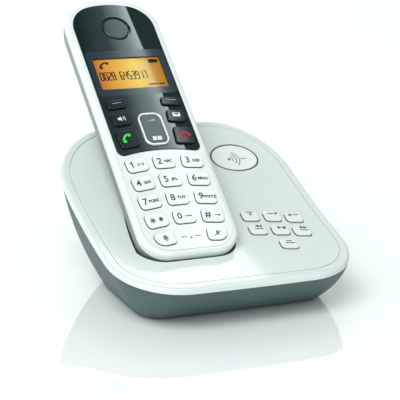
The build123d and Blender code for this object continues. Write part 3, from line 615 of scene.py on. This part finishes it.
number = []
for index, character in enumerate(DISPLAY_NUMBER):
    if character != " ":
        number += segment_digit(character, NUMBER_LEFT + index * DIGIT_PITCH, NUMBER_FOOT)
printed("display_number", number, on_face, "handset", SEGMENT_INK,
        height=PRINT_FILM, base=CELL_TOP + PRINT_GAP)
signs = receiver_sign((-11.0, 109.9), 0.95, 35)
battery = [filled([outline(rounded_points((13.2, 112.2), 4.2, 2.2, 0.3))]),
           filled([bar((15.6, 112.2), 0.6, 1.2)])]
menu_line = [filled([bar((u, 98.2), length, 0.9)]) for u, length in ((9.6, 4.6), (13.8, 2.6))]
printed("display_signs", signs + battery + menu_line, on_face, "handset", SEGMENT_INK,
        height=PRINT_FILM, base=CELL_TOP + PRINT_GAP)

# Smoked border printed round the window, a little bluer than the panel.
PANEL_TOP = 0.3
BORDER_SIZE = (39.4, 27.0)
border = filled([
    outline(rounded_points((0, DISPLAY_MIDDLE_V + 0.2), *BORDER_SIZE, 2.5)),
    outline(rounded_points((0, DISPLAY_MIDDLE_V), *DISPLAY_SIZE, 0.8)),
])
printed("display_border", [border], on_face, "handset", BORDER_INK,
        height=PRINT_FILM, base=PANEL_TOP)

# ------------------------------------------------------------------ base key marks
BASE_KEYS = {
    "base_key_power": (20.5, -8.6), "base_key_volume_down": (31.2, -10.2),
    "base_key_volume_up": (41.4, -12.2), "base_key_rewind": (19.5, -19.2),
    "base_key_play": (30.2, -20.9), "base_key_forward": (40.2, -23.0),
    "base_key_delete": (29.0, -32.2),
}
BASE_KEY_TURN = -8.0


def on_base_key(node):
    x, y = BASE_KEYS[node]
    c, s = cos(radians(BASE_KEY_TURN)), sin(radians(BASE_KEY_TURN))

    def place(a, b, w):
        return on_top(x + a * c - b * s, y + a * s + b * c, KEY_RISE + w)
    return place


def arrow(middle, size, angle=0.0):
    points = [(-0.5 * size, 0.62 * size), (-0.5 * size, -0.62 * size), (0.6 * size, 0)]
    return filled([outline(turned(points, radians(angle), middle))])


def square(middle, size):
    return filled([bar(middle, size, size)])


MARK_LINE = 0.65                               # width of the dashes that stand for words
BASE_MARKS = {
    "base_key_power": [square((0.4, 0.6), 1.2), filled([bar((0.2, 2.2), 3.4, MARK_LINE)])],
    "base_key_volume_down": [arrow((2.1, 1.4), 1.7, -90),
                             filled([bar((-0.6, 1.4), 2.6, MARK_LINE)])],
    "base_key_volume_up": [arrow((-1.5, 1.4), 1.7, 90), filled([bar((1.2, 1.4), 2.6, MARK_LINE)])],
    "base_key_rewind": [arrow((0.0, 2.1), 1.8, 180), arrow((1.7, 2.1), 1.8, 180),
                        filled([bar((0.8, 0.1), 4.2, MARK_LINE)])],
    "base_key_play": [arrow((-0.2, 1.2), 1.8), square((2.1, 1.2), 1.7)],
    "base_key_forward": [arrow((0.5, 2.1), 1.8), arrow((2.2, 2.1), 1.8),
                         filled([bar((1.2, 0.1), 3.8, MARK_LINE)])],
    "base_key_delete": [filled([bar((0.4, 1.8), 2.8, MARK_LINE)]),
                        filled([bar((0.6, 0.1), 4.4, MARK_LINE)])],
}
for node, curves in BASE_MARKS.items():
    printed(f"sign_{node}", curves, on_base_key(node), node, DARK_INK)

# ------------------------------------------------------------------ badge: oval line, radio sign
BADGE_MIDDLE = (31.3, 32.4)
BADGE_SIZE = (12.3, 8.9)
BADGE_RISE = 0.25
BADGE_LINE = 0.75


def ellipse_points(half_x, half_y, steps=72):
    angles = [radians(360 * i / steps) for i in range(steps)]
    return [(BADGE_MIDDLE[0] + half_x * cos(a), BADGE_MIDDLE[1] + half_y * sin(a)) for a in angles]


# The oval line is printed dark: a painted shade standing in for the shading of a raised chrome ring
ring = filled([outline(ellipse_points(*BADGE_SIZE)),
               outline(ellipse_points(BADGE_SIZE[0] - BADGE_LINE, BADGE_SIZE[1] - BADGE_LINE))])
printed("badge_ring_painted_shade", [ring], on_top, "base", DARK_INK, base=BADGE_RISE, height=0.04)
SIGN_LINE = 0.5
level = BADGE_MIDDLE[1] - 0.6
source = (BADGE_MIDDLE[0] - 3.0, level)
waves = [filled([arc_band(source, radius, SIGN_LINE, -55, 55)]) for radius in (2.0, 3.6, 5.2)]
waves.append(filled([disc(source, 0.8)]))
waves.append(filled([bar((BADGE_MIDDLE[0] + 4.6, level), 3.2, SIGN_LINE)]))
printed("badge_sign", waves, on_top, "base", GREY_INK, base=BADGE_RISE)


# ------------------------------------------------------------------ stage and light
FLOOR_HALF = 4.0                               # metres
CARD_HEIGHT = 1.0
CARD_ROWS = 24                                 # strips that keep the gradient straight


def build_floor():
    """White sweep with a polished patch round the object; the polish fades with distance."""
    material, tree, shader = new_material("floor", Roughness=0.6, Specular_IOR_Level=0.2)
    cloud = noise(tree, 6.0, 2.0)
    tone = ramp(tree, cloud.outputs["Fac"], [(0.3, (0.94, 0.972, 0.97)), (0.7, (0.955, 0.985, 0.983))])
    tree.links.new(tone, shader.inputs["Base Color"])
    mirror = add_node(tree, "ShaderNodeBsdfGlossy", {"Color": (0.94, 1.0, 0.99, 1), "Roughness": 0.0})
    point = add_node(tree, "ShaderNodeVectorMath", {0: object_point(tree)}, operation="LENGTH")
    amount = map_range(tree, point.outputs["Value"], (0.06, 0.27), (0.30, 0.04))
    mix = add_node(tree, "ShaderNodeMixShader", {"Fac": amount})
    tree.links.new(shader.outputs["BSDF"], mix.inputs[1])
    tree.links.new(mirror.outputs["BSDF"], mix.inputs[2])
    output = tree.nodes["Material Output"]
    tree.links.new(mix.outputs["Shader"], output.inputs["Surface"])
    mesh = bpy.data.meshes.new("floor")
    corners = [(FLOOR_HALF * x, FLOOR_HALF * y, 0) for x, y in ((-1, -1), (1, -1), (1, 1), (-1, 1))]
    mesh.from_pydata(corners, [], [(0, 1, 2, 3)])
    mesh.materials.append(material)
    floor = bpy.data.objects.new("floor", mesh)
    bpy.context.collection.objects.link(floor)


def area_light(name, at, target, size, power, colour=(1, 1, 1)):
    data = bpy.data.lights.new(name, "AREA")
    data.shape = "RECTANGLE"
    data.size, data.size_y = size
    data.energy = power
    data.color = colour
    light = bpy.data.objects.new(name, data)
    light.location = at
    light.rotation_euler = (Vector(target) - Vector(at)).to_track_quat("-Z", "Y").to_euler()
    bpy.context.collection.objects.link(light)
    return light


def build_world():
    """White room: bright round the horizon, dimmer overhead and low on the right."""
    world = bpy.data.worlds.new("room")
    bpy.context.scene.world = world
    world.use_nodes = True
    tree = world.node_tree
    background = tree.nodes["Background"]
    coordinates = tree.nodes.new("ShaderNodeTexCoord")
    split = add_node(tree, "ShaderNodeSeparateXYZ", {"Vector": coordinates.outputs["Generated"]})
    shade = ramp(tree, split.outputs["Z"], [
        (0.0, (1.13, 1.15, 1.15)), (0.35, (1.13, 1.15, 1.15)), (0.62, (0.58, 0.63, 0.62)),
        (0.95, (0.14, 0.19, 0.19))])
    right = map_range(tree, split.outputs["X"], (0.1, 0.8), (0.0, 0.85))
    low = map_range(tree, split.outputs["Z"], (0.2, 0.6), (1.0, 0.0))
    dark = add_node(tree, "ShaderNodeMath", {0: right, 1: low}, operation="MULTIPLY")
    bright = add_node(tree, "ShaderNodeMath", {0: 1.0, 1: dark.outputs["Value"]}, operation="SUBTRACT")
    tree.links.new(shade, background.inputs["Color"])
    tree.links.new(bright.outputs["Value"], background.inputs["Strength"])


def softbox(name, corners, brightness, gradient):
    """Overhead card: a quadrilateral whose glow follows gradient from its left to its right edge."""
    at_height = [Vector((*corner, CARD_HEIGHT)) for corner in corners]
    front_left, front_right, back_right, back_left = at_height
    points, faces = [], []
    for row in range(CARD_ROWS + 1):
        back = row / CARD_ROWS
        points += [front_left.lerp(back_left, back), front_right.lerp(back_right, back)]
    for row in range(CARD_ROWS):
        faces.append((2 * row, 2 * row + 1, 2 * row + 3, 2 * row + 2))
    mesh = bpy.data.meshes.new(name)
    mesh.from_pydata(points, [], faces)
    layer = mesh.uv_layers.new(name="across")
    for index, loop in enumerate(layer.data):
        loop.uv = ((0, 0), (1, 0), (1, 1), (0, 1))[index % 4]
    material = bpy.data.materials.new(name)
    material.use_nodes = True
    tree = material.node_tree
    tree.nodes.remove(tree.nodes["Principled BSDF"])
    uv = tree.nodes.new("ShaderNodeTexCoord").outputs["UV"]
    split = add_node(tree, "ShaderNodeSeparateXYZ", {"Vector": uv})
    glow = ramp(tree, split.outputs["X"], gradient)
    lamp = add_node(tree, "ShaderNodeEmission", {"Color": glow, "Strength": brightness})
    tree.links.new(lamp.outputs["Emission"], tree.nodes["Material Output"].inputs["Surface"])
    mesh.materials.append(material)
    card = bpy.data.objects.new(name, mesh)
    bpy.context.collection.objects.link(card)
    card.visible_camera = False
    card.visible_shadow = False


build_floor()
build_world()
softbox("panel_softbox", [(0.16, -0.40), (0.5415, -0.40), (0.318, 0.20), (0.24, 0.20)], 8.4,
        [(0.0, (0.0, 0.0, 0.0)), (0.5, (0.006, 0.008, 0.008)), (0.74, (0.08, 0.1, 0.1)),
         (0.9, (0.42, 0.5, 0.495)), (1.0, (0.92, 1.08, 1.07))])
softbox("base_softbox", [(0.10, 0.66), (0.545, 0.66), (0.85, 1.30), (0.10, 1.30)], 3.4,
        [(0.0, (0.8, 0.8, 0.8)), (1.0, (1.0, 1.0, 1.0))])
area_light("key", (-1.15, -1.0, 2.0), (0, 0, 0.04), (1.6, 1.2), 50)
